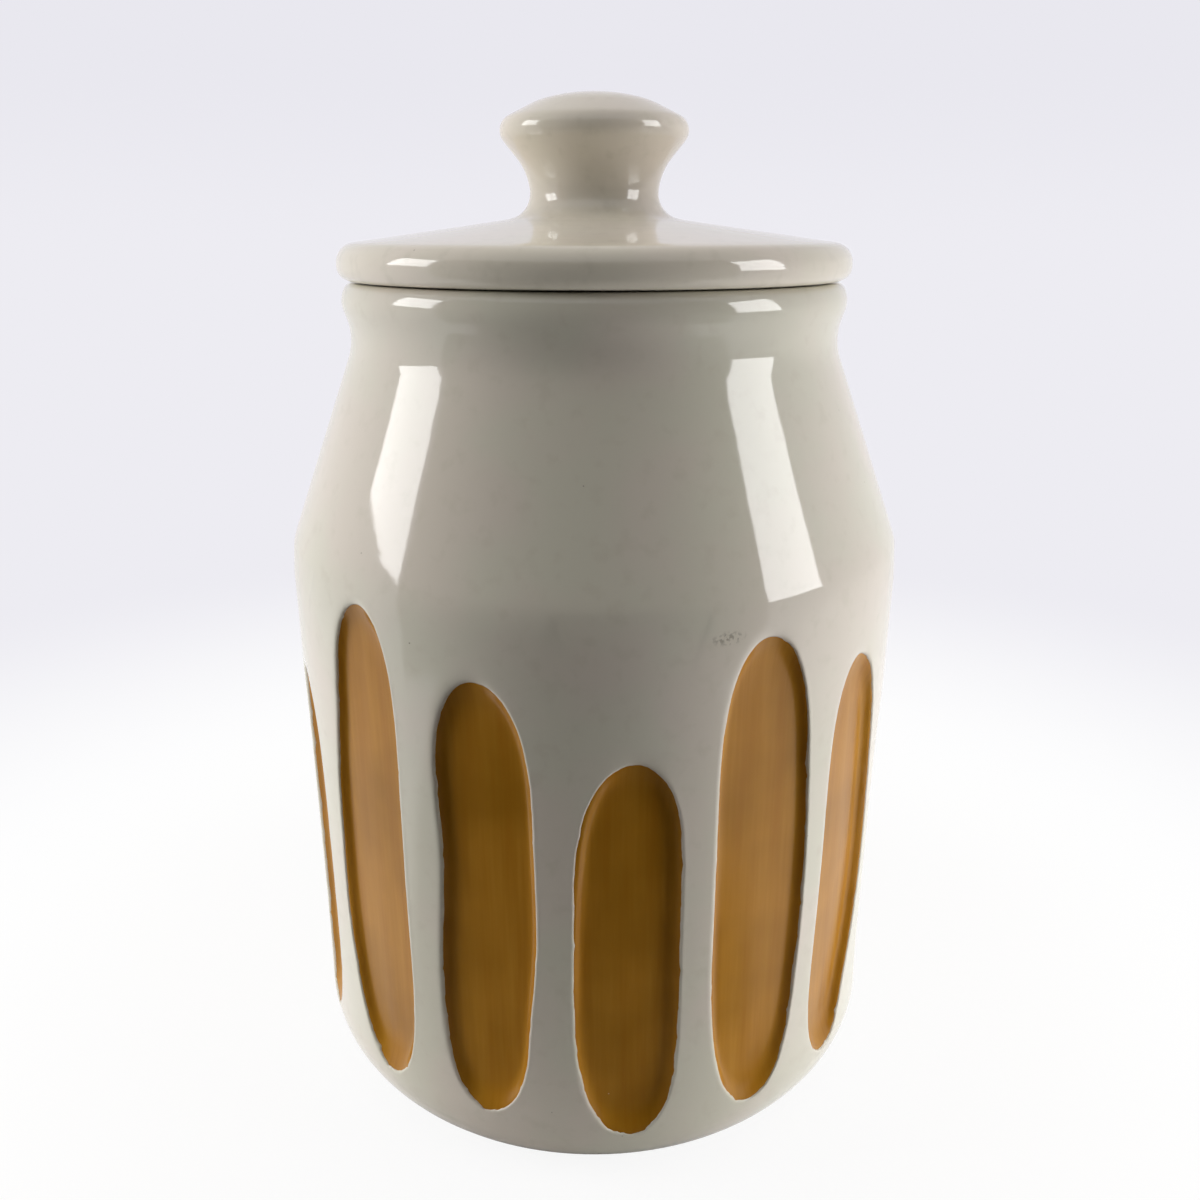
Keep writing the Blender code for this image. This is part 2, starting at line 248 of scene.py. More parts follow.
# %% Jar outline
FOOT_RADIUS = 60.3 * MM
FOOT_RING_WIDTH = 6.0 * MM
FOOT_RECESS = 1.8 * MM
FOOT_RECESS_SLOPE = 2.0 * MM
FOOT_EDGE_ROUND = 1.0 * MM
BASE_ROUND = 21.7 * MM
WALL_FOOT_RADIUS = 72.7 * MM
BELLY_RADIUS = 75.0 * MM
SHOULDER_HEIGHT = 139.9 * MM
SHOULDER_ROUND = 21.0 * MM
WAIST_RADIUS = 57.1 * MM
WAIST_HEIGHT = 188.6 * MM
WAIST_ROUND = 14.0 * MM
BEAD_RADIUS = WAIST_RADIUS + 2.9 * MM
BEAD_HEIGHT = WAIST_HEIGHT + 8.3 * MM
BEAD_ROUND = 6.0 * MM
RIM_RADIUS = BEAD_RADIUS - 1.6 * MM
RIM_HEIGHT = BEAD_HEIGHT + 4.3 * MM
RIM_EDGE_ROUND = 2.8 * MM
WALL = 5.6 * MM
INNER_SHOULDER_DROP = WALL * 0.19
FLOOR = 7.5 * MM
FLOOR_ROUND = 18.0 * MM
MOUTH_RADIUS = WAIST_RADIUS - 5.1 * MM
NECK_ROUND = 12.0 * MM
LIP_ROUND = 1.5 * MM

foot_width = WALL_FOOT_RADIUS - FOOT_RADIUS
base_top = np.sqrt(2 * BASE_ROUND * foot_width - foot_width**2)
BASE_HEIGHT = (base_top**2 - foot_width**2) / (2 * base_top)
cone_lean = (WAIST_HEIGHT - SHOULDER_HEIGHT) / (WAIST_RADIUS - BELLY_RADIUS)
inner_shoulder = (BELLY_RADIUS - WALL, SHOULDER_HEIGHT - INNER_SHOULDER_DROP)
neck_height = inner_shoulder[1] + (MOUTH_RADIUS - inner_shoulder[0]) * cone_lean
ring_inside = FOOT_RADIUS - FOOT_RING_WIDTH

jar_inside = [
    (0, FLOOR, 0),
    (WALL_FOOT_RADIUS - WALL, FLOOR, FLOOR_ROUND),
    (*inner_shoulder, SHOULDER_ROUND - WALL),
    (MOUTH_RADIUS, neck_height, NECK_ROUND),
    (MOUTH_RADIUS, RIM_HEIGHT, LIP_ROUND),
]
jar_outside = [
    (RIM_RADIUS, RIM_HEIGHT, RIM_EDGE_ROUND),
    (BEAD_RADIUS, BEAD_HEIGHT, BEAD_ROUND),
    (WAIST_RADIUS, WAIST_HEIGHT, WAIST_ROUND),
    (BELLY_RADIUS, SHOULDER_HEIGHT, SHOULDER_ROUND),
    (WALL_FOOT_RADIUS, BASE_HEIGHT, BASE_ROUND),
    (FOOT_RADIUS, 0, FOOT_EDGE_ROUND),
]
jar_underside = [
    (ring_inside, 0, FOOT_EDGE_ROUND),
    (ring_inside - FOOT_RECESS_SLOPE, FOOT_RECESS, FOOT_EDGE_ROUND),
    (0, FOOT_RECESS, 0),
]
jar_line = finer(outline(jar_inside + jar_outside + jar_underside))
print(f"jar outline: {len(jar_line)} points, widest {jar_line[:, 0].max() * 2 / MM:.1f} mm")

# %% [markdown]
# Fifteen tall flutes are carved round the wall. A potter cuts them by eye in the leather-hard clay,
# so each sways and swells a little, and their tops go short, tall, middle and round again. An image
# could mark them, but real depth is what catches the light along every rib. A flute's edge is a
# long oval: the square of x over a, plus y over b to the power 4.3, is one.

# %% Flute layout
FLUTE_COUNT = 15
FLUTE_DROPS = np.array([30.8, 4.9, 15.4]) * MM
FLUTE_LEAN = 3.0 * MM
FLUTE_BOTTOM = 17.4 * MM
FLUTE_POWER = 4.3
RIB_WIDTH = 7.2 * MM
FLUTE_START = np.radians(6.0)
FLUTE_STRAYS = np.radians(
    [0, 0, 0, -0.2, -0.6, -1.2, -1.3, -1.9, -2.1, -2.7, -3.0, -3.6, -3.9, -1.3, -0.9]
)
FOOT_STRAY = 0.8 * MM
SWAY_STRAY = 0.6 * MM
HALF_WIDTH = (2 * np.pi * WALL_FOOT_RADIUS / FLUTE_COUNT - RIB_WIDTH) / 2

flutes = np.arange(FLUTE_COUNT)
azimuths = FLUTE_START + 2 * np.pi * flutes / FLUTE_COUNT + FLUTE_STRAYS
tops = SHOULDER_HEIGHT - FLUTE_DROPS[flutes % 3] - FLUTE_LEAN * np.sin(azimuths)

# How the hand strayed on each flute: its foot's height, and how far its middle line sways at the
# foot, half way up and at the top. The ones in front follow the picture, the others are drawn.
hand = np.random.default_rng(15)
foots = FLUTE_BOTTOM + hand.normal(0, 1, FLUTE_COUNT) * FOOT_STRAY
sways = hand.normal(0, 1, (FLUTE_COUNT, 3)) * SWAY_STRAY
seen = {
    12: (17.4, 0.0, 0.0, 0.0),
    13: (18.0, 1.1, -1.0, 1.1),
    14: (19.2, -0.9, 0.3, -0.4),
    0: (15.3, 0.5, -0.5, 0.4),
    1: (17.0, 0.3, 0.4, -1.2),
    2: (17.3, -2.5, 0.0, -1.0),
}
for flute, (foot, *sway) in seen.items():
    foots[flute] = foot * MM
    sways[flute] = np.array(sway) * MM

# Swells of one side of a flute: (flute, side, height, outward swell, spread), side 1 is the right.
SWELLS = [
    (13, -1, 112, -1.8, 16),
    (13, -1, 60, 0.9, 18),
    (14, -1, 84, -1.6, 20),
    (14, 1, 44, -1.4, 16),
    (14, 1, 90, -0.5, 20),
    (1, 1, 75, 0.8, 24),
    (1, -1, 60, 0.5, 30),
    (2, -1, 75, -0.8, 60),
    (2, 1, 68, 1.4, 18),
    (2, 1, 30, -3.0, 14),
]
for flute in range(3, 12):
    for side in (-1, 1):
        at, swell, spread = hand.uniform(40, 110), hand.uniform(-1.2, 0.5), hand.uniform(14, 26)
        SWELLS.append((flute, side, at, swell, spread))
print(f"{FLUTE_COUNT} flutes, tops from {tops.min() / MM:.0f} to {tops.max() / MM:.0f} mm")

# %% [markdown]
# A flute's cut is told by one number, how far a point lies inside the flute's edge. A boolean with
# a long oval tool could carve it too, but then all the flutes would be alike, and ribs and run-outs
# couldn't follow an edge that sways.

# %% Edge of a flute
TINY = 1e-9
LEAST_SLOPE = 0.3 / HALF_WIDTH


def bell(height, at, size, spread):
    """A bell over the height, in millimetres: its size times the exponential of minus the square
    of the way from its middle over its spread."""
    return size * MM * np.exp(-(((height - at * MM) / (spread * MM)) ** 2))


def half_widths(flute, side, height):
    """The oval's half width on one side: the even width plus bell-shaped swells."""
    width = HALF_WIDTH + 0 * height
    for which, at_side, at, swell, spread in SWELLS:
        if which == flute and at_side == side:
            width = width + bell(height, at, swell, spread)
    return width


def middle_line(flute, height):
    """A parabola through the flute's sways at its foot, half way up and at its top."""
    low, mid, high = sways[flute]
    t = (height - foots[flute]) / (tops[flute] - foots[flute]) * 2 - 1
    return mid + (high - low) / 2 * t + ((high + low) / 2 - mid) * t**2


def inward(flute, x, height):
    """How far a point lies inside the flute's edge. With g the root of the oval's formula, it is
    one minus g, divided by the length of g's slope, which is exact on the edge and is kept from
    vanishing at the middle. The other results say which way g's slope points: its share to the
    right, and its share upward."""
    y = height - (tops[flute] + foots[flute]) / 2
    b = (tops[flute] - foots[flute]) / 2
    x = x - middle_line(flute, np.clip(height, foots[flute], tops[flute]))
    a = np.where(x > 0, half_widths(flute, 1, height), half_widths(flute, -1, height))
    rise = np.abs(y / b) ** FLUTE_POWER
    g = np.sqrt((x / a) ** 2 + rise) + TINY
    slope_x = x / (a**2 * g)
    slope_y = FLUTE_POWER * np.abs(y / b) ** (FLUTE_POWER - 1) / (2 * b * g)
    length = np.hypot(slope_x, slope_y)
    rightward = slope_x / np.maximum(length, TINY)
    upward = np.sign(y) * slope_y / np.maximum(length, TINY)
    return (1 - g) / np.maximum(length, LEAST_SLOPE), rightward, upward


print(f"a flute is {2 * HALF_WIDTH / MM:.1f} mm wide")

# %% [markdown]
# Across a flute the wall first rounds over at the rib, then steps down steeply at the sides and
# gently at the ends, where the knife runs out of the clay, and the middle is a shallow scoop. The
# ribs are rounder on a flute's left and at its top, where the cut began.

# %% Depth of the cut
STEP_DEPTH = 1.9 * MM
SIDE_STEP = 0.65 * MM
END_STEP = 3.6 * MM
STEP_POWER = 1.4
SCOOP = 10.0 * MM
SCOOP_SLOPE = 0.12
RIGHT_SHOULDER = 0.5 * MM
LEFT_SHOULDER = 1.6 * MM
TOP_SHOULDER = 2.8 * MM
SHOULDER_LEAN = 0.8


def cut_depth(inside, rightward, upward):
    """The depth of the cut at a distance inside the edge. Outside it the rib rounds over, and the
    depth grows with the cube of the way. Inside, a step falls as one minus the exponential of minus
    the way to the power 1.4, steeply at the sides and gently at the ends, and the slope of a wide
    scoop fades evenly to nothing."""
    shoulder = RIGHT_SHOULDER + (TOP_SHOULDER - RIGHT_SHOULDER) * np.maximum(upward, 0) ** 2
    shoulder = shoulder + (LEFT_SHOULDER - RIGHT_SHOULDER) * np.maximum(-rightward, 0) ** 2
    at_edge = SHOULDER_LEAN * shoulder / 3
    over = np.clip(1 + inside / shoulder, 0, 1)
    within = np.maximum(inside, 0)
    fall = 1 - np.exp(-((within / (SIDE_STEP + (END_STEP - SIDE_STEP) * upward**2)) ** STEP_POWER))
    reach = np.minimum(within, SCOOP)
    scoop = SCOOP_SLOPE * reach * (1 - reach / (2 * SCOOP))
    return at_edge * over**3 + (STEP_DEPTH - at_edge) * fall + scoop


print(f"a flute is {cut_depth(SCOOP, 1, 0) / MM:.1f} mm deep")

# %% [markdown]
# The whole wall's depth is the deepest cut that reaches each point, so neighbours can share a rib.
# Here and there the brush ran past the cut, and the colour lies on the rib's shoulder too. There
# the step begins a little inside the coloured edge.

# %% Depth of the wall
FLUTE_REACH = np.radians(20)

# Where the stain runs past the cut onto the rib: (flute, side, height, width, spread).
OVERLAPS = [
    (0, -1, 98, 1.1, 34),
    (13, -1, 60, 0.7, 30),
    (2, 1, 70, 0.5, 40),
    (5, 1, 80, 0.9, 30),
    (8, -1, 90, 0.8, 36),
]


def late_step(flute, rightward, height):
    """How far inside the stain's edge the cut begins: a bell, on the side it is given for."""
    late = np.zeros_like(height)
    for which, side, at, width, spread in OVERLAPS:
        if which == flute:
            late = late + bell(height, at, width, spread) * np.maximum(side * rightward, 0) ** 2
    return late


def carved_depth(azimuth, height):
    """How deep the wall is carved at each azimuth and height: the deepest cut there."""
    depth = np.zeros_like(azimuth)
    for flute in flutes:
        turn = (azimuth - azimuths[flute] + np.pi) % (2 * np.pi) - np.pi
        near = np.abs(turn) < FLUTE_REACH
        inside, rightward, upward = inward(flute, turn[near] * WALL_FOOT_RADIUS, height[near])
        inside = inside - late_step(flute, rightward, height[near])
        depth[near] = np.maximum(depth[near], cut_depth(inside, rightward, upward))
    return depth


print(f"{len(OVERLAPS)} places where the stain runs past its cut")

# %% [markdown]
# The knife leaves a slightly torn edge, and glaze and stain both stop there. So the flute's edge is
# the oval plus a small ragged line: waves that close on themselves round the edge, with a few
# nicks, and more tearing at the foot. The wall's grid is bent to run along this edge, which a plain
# square grid would cut into steps.

# %% Ragged edge
WAVES = np.array([5, 9, 14, 23, 31, 47, 61, 83, 109, 139])
WAVE_SIZE = 0.16 * MM
NICK_SIZE = 0.28 * MM
FOOT_TEAR = 1.6
EDGE_SAMPLES = 900
CAP = 6.0 * MM


def ragged(flute, turn):
    """Sines whose counts are whole numbers, so they close; their cube adds sparse nicks."""
    draw = np.random.default_rng(100 + flute)
    phases = draw.uniform(0, 2 * np.pi, len(WAVES))
    sizes = draw.uniform(0.5, 1, len(WAVES)) / WAVES**0.5
    slow = (np.sin(WAVES[:4] * turn[:, None] + phases[:4]) * sizes[:4]).sum(axis=1)
    fast = (np.sin(WAVES[3:] * turn[:, None] + phases[3:]) * sizes[3:]).sum(axis=1)
    return WAVE_SIZE * slow + NICK_SIZE * fast * np.abs(fast) * 2


def flute_edge(flute, side, border):
    """Points of one side of a flute's edge, one for each point of the tile's border. Along the
    straight part each lies level with its border point; round the ends they share out the arc."""
    angle = np.linspace(0, np.pi, EDGE_SAMPLES)
    mid, b = (tops[flute] + foots[flute]) / 2, (tops[flute] - foots[flute]) / 2
    level = mid + b * np.sign(np.cos(angle)) * np.abs(np.cos(angle)) ** (2 / FLUTE_POWER)
    z = level
    x = middle_line(flute, z) + side * half_widths(flute, side, z) * np.sin(angle)
    length = np.r_[0, np.cumsum(np.hypot(np.diff(x), np.diff(z)))]
    out_x, out_z = -side * np.gradient(z, length), side * np.gradient(x, length)
    torn = ragged(flute, side * np.pi * length / length[-1])
    torn = torn * (1 + FOOT_TEAR * ((1 - np.cos(angle)) / 2) ** 6)
    x, z = x + out_x * torn, z + out_z * torn

    run = np.r_[0, np.cumsum(np.hypot(*np.diff(border, axis=0).T))]
    ends = np.array([tops[flute] - CAP, foots[flute] + CAP])
    upright = border[:, 0] == border[len(border) // 2, 0]
    run_at = np.interp(-ends, -border[upright, 1], run[upright])
    length_at = np.interp(-ends, -level, length)
    target = np.interp(run, np.r_[0, run_at, run[-1]], np.r_[0, length_at, length[-1]])
    return np.stack([np.interp(target, length, x), np.interp(target, length, z)], axis=1)


# %% [markdown]
# The carved wall is laid out as one tile for each flute, from the middle of one rib to the next. A
# tile is two skirts of grid, which run from the flute's edge out to the tile's border, and a bed
# inside the edge, which lies under the amber coat. A fine, even grid all round would need millions
# of faces for the same edge. The white glaze ends in a lip at the edge: it drops at the very edge
# and swells a little beside it.

# %% Wall tiles
WALL_LOW = 12.5 * MM
WALL_HIGH = 141.0 * MM
SIDE_ROWS = 132
EDGE_COLUMNS = 16
COARSE = 3
NEAR_RINGS = np.array([0, 0.12, 0.3, 0.6, 1.1]) * MM
FAR_RINGS = np.array([0.07, 0.2, 0.37, 0.56, 0.78, 1.0])
LIP_HEIGHT = 0.25 * MM
LIP_BEAD, LIP_BEAD_AT, LIP_BEAD_WIDTH = 0.05 * MM, 0.5 * MM, 0.3 * MM
LIP_EDGE, LIP_EDGE_WIDTH = 0.12 * MM, 0.1 * MM

# The bed under the coat: its columns from the middle to the edge, and how deep each is sunk.
UNDER_HALF = np.array([0.6, 0.86, 0.93, 0.98, 1])
UNDER_COLUMNS = np.r_[-UNDER_HALF[::-1], 0, UNDER_HALF]
UNDER_SHARES = [0, 0.86, 0.93, 0.98, 1]
UNDER_DEPTHS = [0.9, 0.95, 0.85, 0.55, 0]
UNDER_COAT = np.interp(np.abs(UNDER_COLUMNS), UNDER_SHARES, UNDER_DEPTHS) * MM

outer = np.argmax(jar_line[:, 1])
outer_line = jar_line[outer:][jar_line[outer:, 0] > FOOT_RADIUS * 0.9]
falling = outer_line[::-1]


def wall_radius(height):
    """The outer radius at a height, read off the outline below the shoulder."""
    wall = falling[falling[:, 1] < SHOULDER_HEIGHT + 10 * MM]
    return np.interp(height, wall[:, 1], wall[:, 0])


def on_wall(flute, x, height, sunk=0.0):
    """Points of the carved wall: x along the wall's foot from the flute's azimuth, then sunk."""
    azimuth = azimuths[flute] + x / WALL_FOOT_RADIUS
    radius = wall_radius(height) - carved_depth(azimuth, height) - sunk
    return np.stack([radius * np.sin(azimuth), -radius * np.cos(azimuth), height], axis=-1)


def tile_border(flute, side):
    """Half of a tile's border: from its top's middle, down the middle of a rib, to its foot."""
    after = azimuths[(flute + side) % FLUTE_COUNT] - azimuths[flute]
    after = (after + np.pi) % (2 * np.pi) - np.pi
    reach = after / 2 * WALL_FOOT_RADIUS
    across = np.linspace(0, reach, EDGE_COLUMNS + 1)
    down = np.linspace(WALL_HIGH, WALL_LOW, SIDE_ROWS + 1)
    x = np.r_[across, np.full(SIDE_ROWS, reach), across[::-1][1:]]
    z = np.r_[np.full(EDGE_COLUMNS, WALL_HIGH), down, np.full(EDGE_COLUMNS, WALL_LOW)]
    return np.stack([x, z], axis=1)


def lip_sink(away):
    """How far the lip of white glaze lies sunk, at a way from the edge: a bell at the edge, less a
    lower and wider bell beside it."""
    drop = LIP_EDGE * np.exp(-((away / LIP_EDGE_WIDTH) ** 2))
    return drop - LIP_BEAD * np.exp(-(((away - LIP_BEAD_AT) / LIP_BEAD_WIDTH) ** 2))


def ladder(left, right, columns):
    """Rows of points from a left edge to a right edge, shared out by columns from -1 to 1."""
    share = (columns + 1) / 2
    return left[:, None] + (right - left)[:, None] * share[None, :, None]


def patch_of(points, uv, flip=False):
    """A patch from a grid of points, with its faces turned round where flip is set."""
    rows, columns = points.shape[:2]
    faces = grid_faces(rows, columns)
    return points.reshape(-1, 3), faces[:, ::-1] if flip else faces, uv.reshape(-1, 2)


print(f"lip: {lip_sink(0.0) / MM:.2f} mm down at the edge")

# %% Carved wall
edges = {}
wall_patches = []
for flute in flutes:
    borders = {side: tile_border(flute, side) for side in (-1, 1)}
    for side in (-1, 1):
        edges[flute, side] = flute_edge(flute, side, borders[side])
    for end in (0, -1):
        tip = (edges[flute, -1][end] + edges[flute, 1][end]) / 2
        edges[flute, -1][end] = edges[flute, 1][end] = tip
    for side in (-1, 1):
        border, edge = borders[side], edges[flute, side]
        reach = np.linalg.norm(border - edge, axis=1)
        toward = (border - edge) / reach[:, None]
        near = NEAR_RINGS[:, None] * np.minimum(1, reach / (2 * NEAR_RINGS[-1]))
        far = near[-1] + (reach - near[-1]) * FAR_RINGS[:, None]
        away = np.concatenate([near, far])
        flat = edge + toward * away[..., None]
        flat[-1] = border
        points = on_wall(flute, flat[..., 0], flat[..., 1], lip_sink(away))
        wall_patches.append(patch_of(points, flat, flip=side > 0))
    flat = ladder(edges[flute, -1], edges[flute, 1], UNDER_COLUMNS)
    sunk = np.maximum(np.tile(UNDER_COAT, (len(flat), 1)), lip_sink(0.0))
    sunk[[0, -1]] = lip_sink(0.0)
    points = on_wall(flute, flat[..., 0], flat[..., 1], sunk)
    wall_patches.append(patch_of(points, flat))
print(f"wall: {len(wall_patches)} patches")

# %% [markdown]
# Above and below the carved wall the jar is plainly round, so a third as many columns will do.
# Where the two meet, each wide face is joined to three narrow ones by a small fan of triangles. The
# same columns everywhere would be simpler, but would waste faces on the shoulder and the inside.


# %% Jar body
def fan_faces(fine, coarse, flip):
    """Triangles that join three narrow columns to one wide one, repeated round the jar."""
    start = np.arange(coarse)
    f = start * COARSE
    c = fine + start
    last = c + 1
    fans = np.concatenate(
        [
            np.stack([c, f, f + 1, f + 1], axis=1),
            np.stack([c, f + 1, last, last], axis=1),
            np.stack([last, f + 1, f + 2, f + 2], axis=1),
            np.stack([last, f + 2, f + 3, f + 3], axis=1),
        ]
    )
    return fans[:, ::-1] if flip else fans


ring = []
for flute in flutes:
    left, right = tile_border(flute, -1), tile_border(flute, 1)
    top = np.r_[left[EDGE_COLUMNS::-1, 0], right[1:EDGE_COLUMNS, 0]]
    ring.append(azimuths[flute] + top / WALL_FOOT_RADIUS)
ring = np.concatenate(ring)
ring = np.r_[ring, ring[0] + 2 * np.pi]
coarse_ring = ring[::COARSE]

# The round parts end where the carved wall begins. A row too close to it is left out.
ROW_GAP = 0.3 * MM
high_at = np.argmax((np.arange(len(jar_line)) > outer) & (jar_line[:, 1] < WALL_HIGH))
low_at = np.argmax((np.arange(len(jar_line)) > outer) & (jar_line[:, 1] < WALL_LOW))
upper = jar_line[:high_at]
lower = jar_line[low_at:]
upper = upper[np.r_[np.ones(len(upper) - 1, bool), upper[-1, 1] > WALL_HIGH + ROW_GAP]]
lower = lower[np.r_[lower[0, 1] < WALL_LOW - ROW_GAP, np.ones(len(lower) - 1, bool)]]
body_patches = list(wall_patches)
body_patches.append(turned(upper, coarse_ring))
body_patches.append(turned(lower, coarse_ring))
for height, line, flip in ((WALL_HIGH, upper[-1:], False), (WALL_LOW, lower[:1], True)):
    fine_line = np.array([[wall_radius(height), height]])
    fine_points, _, fine_uv = turned(fine_line, ring)
    coarse_points, _, coarse_uv = turned(line, coarse_ring)
    points, uv = np.concatenate([fine_points, coarse_points]), np.concatenate([fine_uv, coarse_uv])
    body_patches.append((points, fan_faces(len(ring), len(coarse_ring) - 1, flip), uv))
print(f"jar body: {len(upper)} rows above the carving, {len(lower)} below")

# %% [markdown]
# The lid is thrown in one piece: a thin plate with a rounded edge, a waisted knob, and a skirt
# below that drops into the mouth and holds the ring in a groove. Knob and plate could be made apart
# and joined, but clay has no seam there, so one outline is turned, from the middle of the knob's
# crown to the middle of the hollow under it.

# %% Lid outline
SEAT_HEIGHT = RIM_HEIGHT + 0.3 * MM
SKIRT_RADIUS = MOUTH_RADIUS - 1.6 * MM
SKIRT_DEPTH = 14.0 * MM
SKIRT_WALL = 5.0 * MM
SKIRT_ROUND = 1.2 * MM
GROOVE_DROP = 5.0 * MM
GROOVE_HEIGHT = 4.6 * MM
GROOVE_DEPTH = 1.9 * MM
GROOVE_ROUND = 0.25 * MM
SEAL_GAP = 0.3 * MM
LID_EDGE_RADIUS = BEAD_RADIUS + 0.3 * MM
LID_EDGE = 7.8 * MM
LID_RISE = 13.25 * MM
LID_WALL = 5.0 * MM
LID_EDGE_TOP_ROUND = 4.6 * MM
LID_EDGE_FOOT_ROUND = 3.0 * MM
KNOB_ROOT_RADIUS = 21.3 * MM
KNOB_ROOT_ROUND = 9.0 * MM
KNOB_HEIGHT = 40.9 * MM
KNOB_CROWN_WALL = 8.0 * MM
KNOB_HOLLOW_RADIUS = 9.5 * MM
KNOB_HOLLOW_ROUND = 5.0 * MM
HOLLOW_TOP = KNOB_HEIGHT - KNOB_CROWN_WALL

# The knob's corners from its level top over its crown, edge and neck to its foot, in millimetres.
KNOB_CORNERS = [
    (0, 40.9, 0),
    (7.0, 40.9, 34.0),
    (13.6, 39.0, 20.9),
    (23.85, 33.9, 3.5),
    (15.6, 23.9, 13.1),
    (14.4, 14.7, 5.8),
]

plate_lean = (LID_RISE - LID_EDGE) / (KNOB_ROOT_RADIUS - LID_EDGE_RADIUS)
groove_radius = SKIRT_RADIUS - GROOVE_DEPTH
groove_foot = -GROOVE_DROP - GROOVE_HEIGHT


def under_plate(radius):
    """The height of the plate's underside, which keeps the plate's slope and thickness."""
    return LID_EDGE + (radius - LID_EDGE_RADIUS) * plate_lean - LID_WALL


skirt_inside = SKIRT_RADIUS - SKIRT_WALL
lid_corners = [
    *(np.array(KNOB_CORNERS) * MM),
    (KNOB_ROOT_RADIUS, LID_RISE, KNOB_ROOT_ROUND),
    (LID_EDGE_RADIUS, LID_EDGE, LID_EDGE_TOP_ROUND),
    (LID_EDGE_RADIUS, 0, LID_EDGE_FOOT_ROUND),
    (SKIRT_RADIUS, 0, GROOVE_ROUND),
    (SKIRT_RADIUS, -GROOVE_DROP, GROOVE_ROUND),
    (groove_radius, -GROOVE_DROP, GROOVE_ROUND),
    (groove_radius, groove_foot, GROOVE_ROUND),
    (SKIRT_RADIUS, groove_foot, GROOVE_ROUND),
    (SKIRT_RADIUS, -SKIRT_DEPTH, SKIRT_ROUND),
    (skirt_inside, -SKIRT_DEPTH, SKIRT_ROUND),
    (skirt_inside, under_plate(skirt_inside), SKIRT_WALL),
    (KNOB_HOLLOW_RADIUS, under_plate(KNOB_HOLLOW_RADIUS), KNOB_HOLLOW_ROUND),
    (KNOB_HOLLOW_RADIUS, HOLLOW_TOP, KNOB_HOLLOW_ROUND),
    (0, HOLLOW_TOP, 0),
]
lid_line = finer(outline(lid_corners)) + [0, SEAT_HEIGHT]
print(f"lid outline: {len(lid_line)} points, up to {lid_line[:, 1].max() / MM:.1f} mm")

# %% [markdown]
# The silicone ring sits in the skirt's groove. Its core fills the groove, and a lip above and below
# reaches out to the mouth. A plain band would close it as well, but lips bend when the lid goes in.
# The ring is turned too, from an outline that starts and ends inside the core.

# %% Ring outline
SEAL_CORE = 1.9 * MM
SEAL_LIP = 1.0 * MM
SEAL_SOFT = 0.2 * MM
SEAL_STEP = 1.0 * MM

core_inside = groove_radius + SEAL_GAP
core_outside = core_inside + SEAL_CORE
lip_radius = MOUTH_RADIUS - SEAL_GAP
seal_top = GROOVE_HEIGHT / 2 - SEAL_GAP
seal_middle = SEAT_HEIGHT - GROOVE_DROP - GROOVE_HEIGHT / 2
seal_corners = [
    (core_inside, 0, 0),
    (core_inside, seal_top, SEAL_SOFT),
    (lip_radius, seal_top, SEAL_SOFT),
    (lip_radius, seal_top - SEAL_LIP / 2, SEAL_SOFT),
    (core_outside, seal_top - SEAL_LIP, SEAL_SOFT),
    (core_outside, SEAL_LIP - seal_top, SEAL_SOFT),
    (lip_radius, SEAL_LIP / 2 - seal_top, SEAL_SOFT),
    (lip_radius, -seal_top, SEAL_SOFT),
    (core_inside, -seal_top, SEAL_SOFT),
    (core_inside, 0, 0),
]
seal_line = finer(outline(seal_corners), SEAL_STEP) + [0, seal_middle]
print(f"ring outline: {len(seal_line)} points, {2 * seal_top / MM:.1f} mm high")

# %% [markdown]
# The amber is a stain brushed into the flutes and fired to a satin. It lies thinner than the white
# glaze, so the white stands up beside it as a fine lip. Each flute gets its own thin coat, a closed
# skin like a long lens, whose rim tucks in under the lip. Painting the colour on the wall by a mask
# would be lighter, but a coat of its own can be recoloured and keeps a sharp edge at any distance.

# %% Amber coats
COAT_TUCK = 0.1 * MM
COAT_THICKNESS = 0.35 * MM
COAT_COLUMNS = 28


def tucked(edge, side, by):
    """An edge moved outward by a set distance, along the normal of its line."""
    step = np.gradient(edge, axis=0)
    normal = side * np.stack([-step[:, 1], step[:, 0]], axis=1)
    normal /= np.maximum(np.linalg.norm(normal, axis=1), TINY)[:, None]
    return edge + normal * by


coat_patches = {}
columns = np.sin(np.linspace(-1, 1, COAT_COLUMNS + 1) * np.pi / 2)
for flute in flutes:
    left, right = (tucked(edges[flute, side], side, COAT_TUCK) for side in (-1, 1))
    for end in (0, -1):
        left[end] = right[end] = (left[end] + right[end]) / 2
    flat = ladder(left, right, columns)
    top = on_wall(flute, flat[..., 0], flat[..., 1], LIP_HEIGHT)
    thick = np.full(flat.shape[:2], LIP_HEIGHT + COAT_THICKNESS)
    thick[:, [0, -1]] = LIP_HEIGHT
    thick[[0, -1]] = LIP_HEIGHT
    bottom = on_wall(flute, flat[..., 0], flat[..., 1], thick)
    coat_patches[flute] = [patch_of(top, flat), patch_of(bottom, flat, flip=True)]
print(f"{len(coat_patches)} coats, {COAT_THICKNESS / MM:.2f} mm thick")

# %% [markdown]
# Materials start from what the real ones are. Every shader is a small tree of nodes, and one
# function adds each of them. Such a tree could be clicked together by hand, but as text its values
# stand beside the reasons for them. The most common step lays one colour over another wherever a
# pattern is strong, so that has a function too.

# %% Material helpers
# Sockets of a colour mix share their names with those of other mixes, so they go by number.
MIX_FACTOR, MIX_UNDER, MIX_OVER, MIX_RESULT = 0, 6, 7, 2


